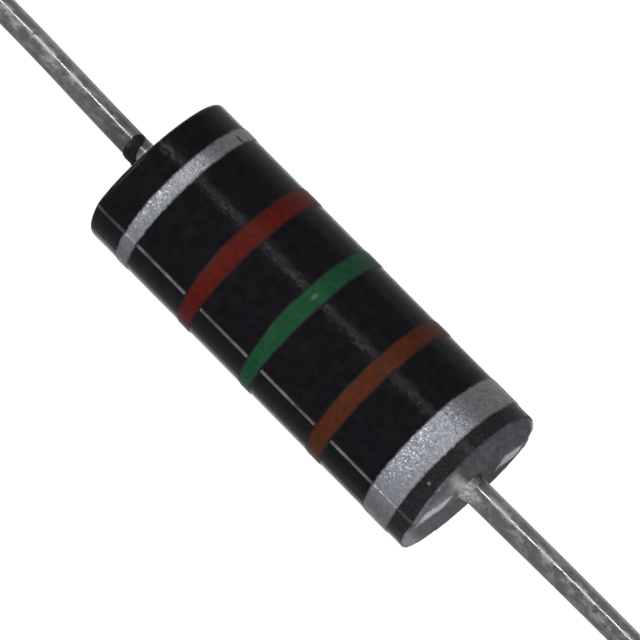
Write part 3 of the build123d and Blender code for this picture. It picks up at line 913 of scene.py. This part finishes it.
def creep(end, profile):
    """A ring of resin on a lead, left in edit mode. The profile lists pairs of the
    distance from the end face's ridge and the resin's thickness on the lead."""
    start, stop = profile[0][0], profile[-1][0]
    deselect()
    bpy.ops.mesh.primitive_cylinder_add(
        vertices=LEAD_SIDES, radius=LEAD_RADIUS, depth=stop - start,
        location=(end * (HALF_LENGTH + (start + stop) / 2), 0, 0), rotation=(0, pi / 2, 0))
    ring = bpy.context.object
    bpy.ops.object.transform_apply(location=True, rotation=True)
    bpy.ops.object.mode_set(mode="EDIT")
    pick(ring, "edges", lambda edge: abs(edge.verts[0].co.x - edge.verts[1].co.x) > 0.01)
    bpy.ops.mesh.subdivide(number_cuts=RESIN_LOOPS - 1)
    for loop in range(RESIN_LOOPS + 1):
        reach = start + (stop - start) * loop / RESIN_LOOPS
        (near, thin), (far, thick) = next(pair for pair in zip(profile, profile[1:])
                                          if reach <= pair[1][0] + 1e-6)
        wall = thin + (thick - thin) * (reach - near) / (far - near)
        x = end * (HALF_LENGTH + reach)
        pick(ring, "verts", lambda v: abs(v.co.x - x) < 1e-4)
        grow = (LEAD_RADIUS + wall) / LEAD_RADIUS
        bpy.ops.transform.resize(value=(1, grow, grow), center_override=(x, 0, 0))
    return ring


def set_resin(ring, name, lumps, material):
    """Makes a ring lumpy and hands it over."""
    bpy.ops.object.mode_set(mode="OBJECT")
    apply(ring, "DISPLACE", texture=RESIN_LUMPS, texture_coords="LOCAL", direction="NORMAL",
          strength=lumps, mid_level=0.5)
    finish_piece(ring, name, "epoxy_moulding", material, "moulded_body")


collar = creep(-1, [(-0.20, 0.020), (0.02, 0.006), (0.10, -0.006), (0.38, -0.006), (0.46, 0.022),
                    (0.66, 0.030), (0.77, 0.006)])
pick(collar, "verts", lambda v: v.co.dot(TO_SIDE) < -0.28)
bpy.ops.transform.translate(value=AXIS * 0.10, use_proportional_edit=True,
                            proportional_edit_falloff="SMOOTH", proportional_size=0.5)
print("lower side of the neck:",
      pick(collar, "verts", lambda v: v.co.x > -HALF_LENGTH - 0.36 and v.co.dot(TO_SIDE) < -0.10))
bpy.ops.transform.translate(value=-TO_SIDE * 0.030)
set_resin(collar, "resin_collar", 0.03, crept_resin)

skirt = creep(1, [(-0.06, 0.080), (0.0, 0.056), (0.08, 0.038), (0.18, 0.016), (0.30, 0.0)])
pick(skirt, "verts", lambda v: v.co.dot(TO_SIDE) > 0.24 and v.co.x < HALF_LENGTH)
bpy.ops.transform.translate(value=AXIS * -0.05, use_proportional_edit=True,
                            proportional_edit_falloff="SMOOTH", proportional_size=0.25)
set_resin(skirt, "resin_skirt", 0.05, dusty_and_shaded_resin)

# %% [markdown]
# ## Inside
#
# The drum, its shield sleeve, the winding and the solder are shut in by the epoxy. They
# stay as the CAD model has them, each with the finish that a cut-away would show.

# %% Finish the inner pieces
WIRE_PITCH = 0.12
BANDS_PER_UNIT = 20 / (2 * pi)         # a Wave Texture's bands to the unit at a scale of one

ferrite, tree, place = new_material("manganese_zinc_ferrite_sintered_and_ground")
grit = add(tree, "TexNoise", {"Vector": place, "Scale": 1 / 0.04, "Detail": 3.0})
colour = add(tree, "Mix", {0: grit, 6: "#34353A", 7: "#43444A"}, 2, data_type="RGBA")
bump = add(tree, "Bump", {"Height": grit, "Strength": 1.0, "Distance": 0.000004})
sheen = add(tree, "BsdfPrincipled", {"Base Color": colour, "Roughness": 0.5, "Normal": bump})
add(tree, "OutputMaterial", {"Surface": sheen})

enamelled_copper, tree, place = new_material("enamelled_copper_wire_wound")
turns = add(tree, "TexWave", {"Vector": place, "Scale": 1 / (BANDS_PER_UNIT * WIRE_PITCH)}, "Fac",
            wave_type="BANDS", bands_direction="X", wave_profile="SIN")
colour = add(tree, "Mix", {0: turns, 6: "#5E2610", 7: "#B45A2C"}, 2, data_type="RGBA")
bump = add(tree, "Bump", {"Height": turns, "Strength": 1.0, "Distance": 0.00003})
sheen = add(tree, "BsdfPrincipled", {"Base Color": colour, "Metallic": 0.8, "Roughness": 0.3,
            "Coat Weight": 0.6, "Coat Roughness": 0.1, "Normal": bump})
add(tree, "OutputMaterial", {"Surface": sheen})

solder, tree, place = new_material("tin_solder_flowed")
pools = add(tree, "TexNoise", {"Vector": place, "Scale": 1 / 0.2, "Detail": 2.0})
colour = add(tree, "Mix", {0: pools, 6: "#B9BABC", 7: "#CDCED0"}, 2, data_type="RGBA")
bump = add(tree, "Bump", {"Height": pools, "Strength": 1.0, "Distance": 0.00002})
sheen = add(tree, "BsdfPrincipled", {"Base Color": colour, "Metallic": 1.0, "Roughness": 0.22,
            "Normal": bump})
add(tree, "OutputMaterial", {"Surface": sheen})

for node, finish in (("ferrite_core", ferrite), ("shield_sleeve", ferrite),
                     ("winding", enamelled_copper), ("solder_joint_left", solder),
                     ("solder_joint_right", solder)):
    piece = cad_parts[node]
    piece.data.materials.clear()
    piece.data.materials.append(finish)

# %% [markdown]
# ## Print the sizes
#
# Both boxes, the CAD model's and the dressed part's, are printed in millimetres.

# %% Print the sizes
seen_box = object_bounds()
sizes = {"cad": [list(corner) for corner in cad_box], "visual": [list(corner) for corner in seen_box]}
for name, box in sizes.items():
    print(name, [round((high - low) / MM, 3) for low, high in zip(*box)], "mm")
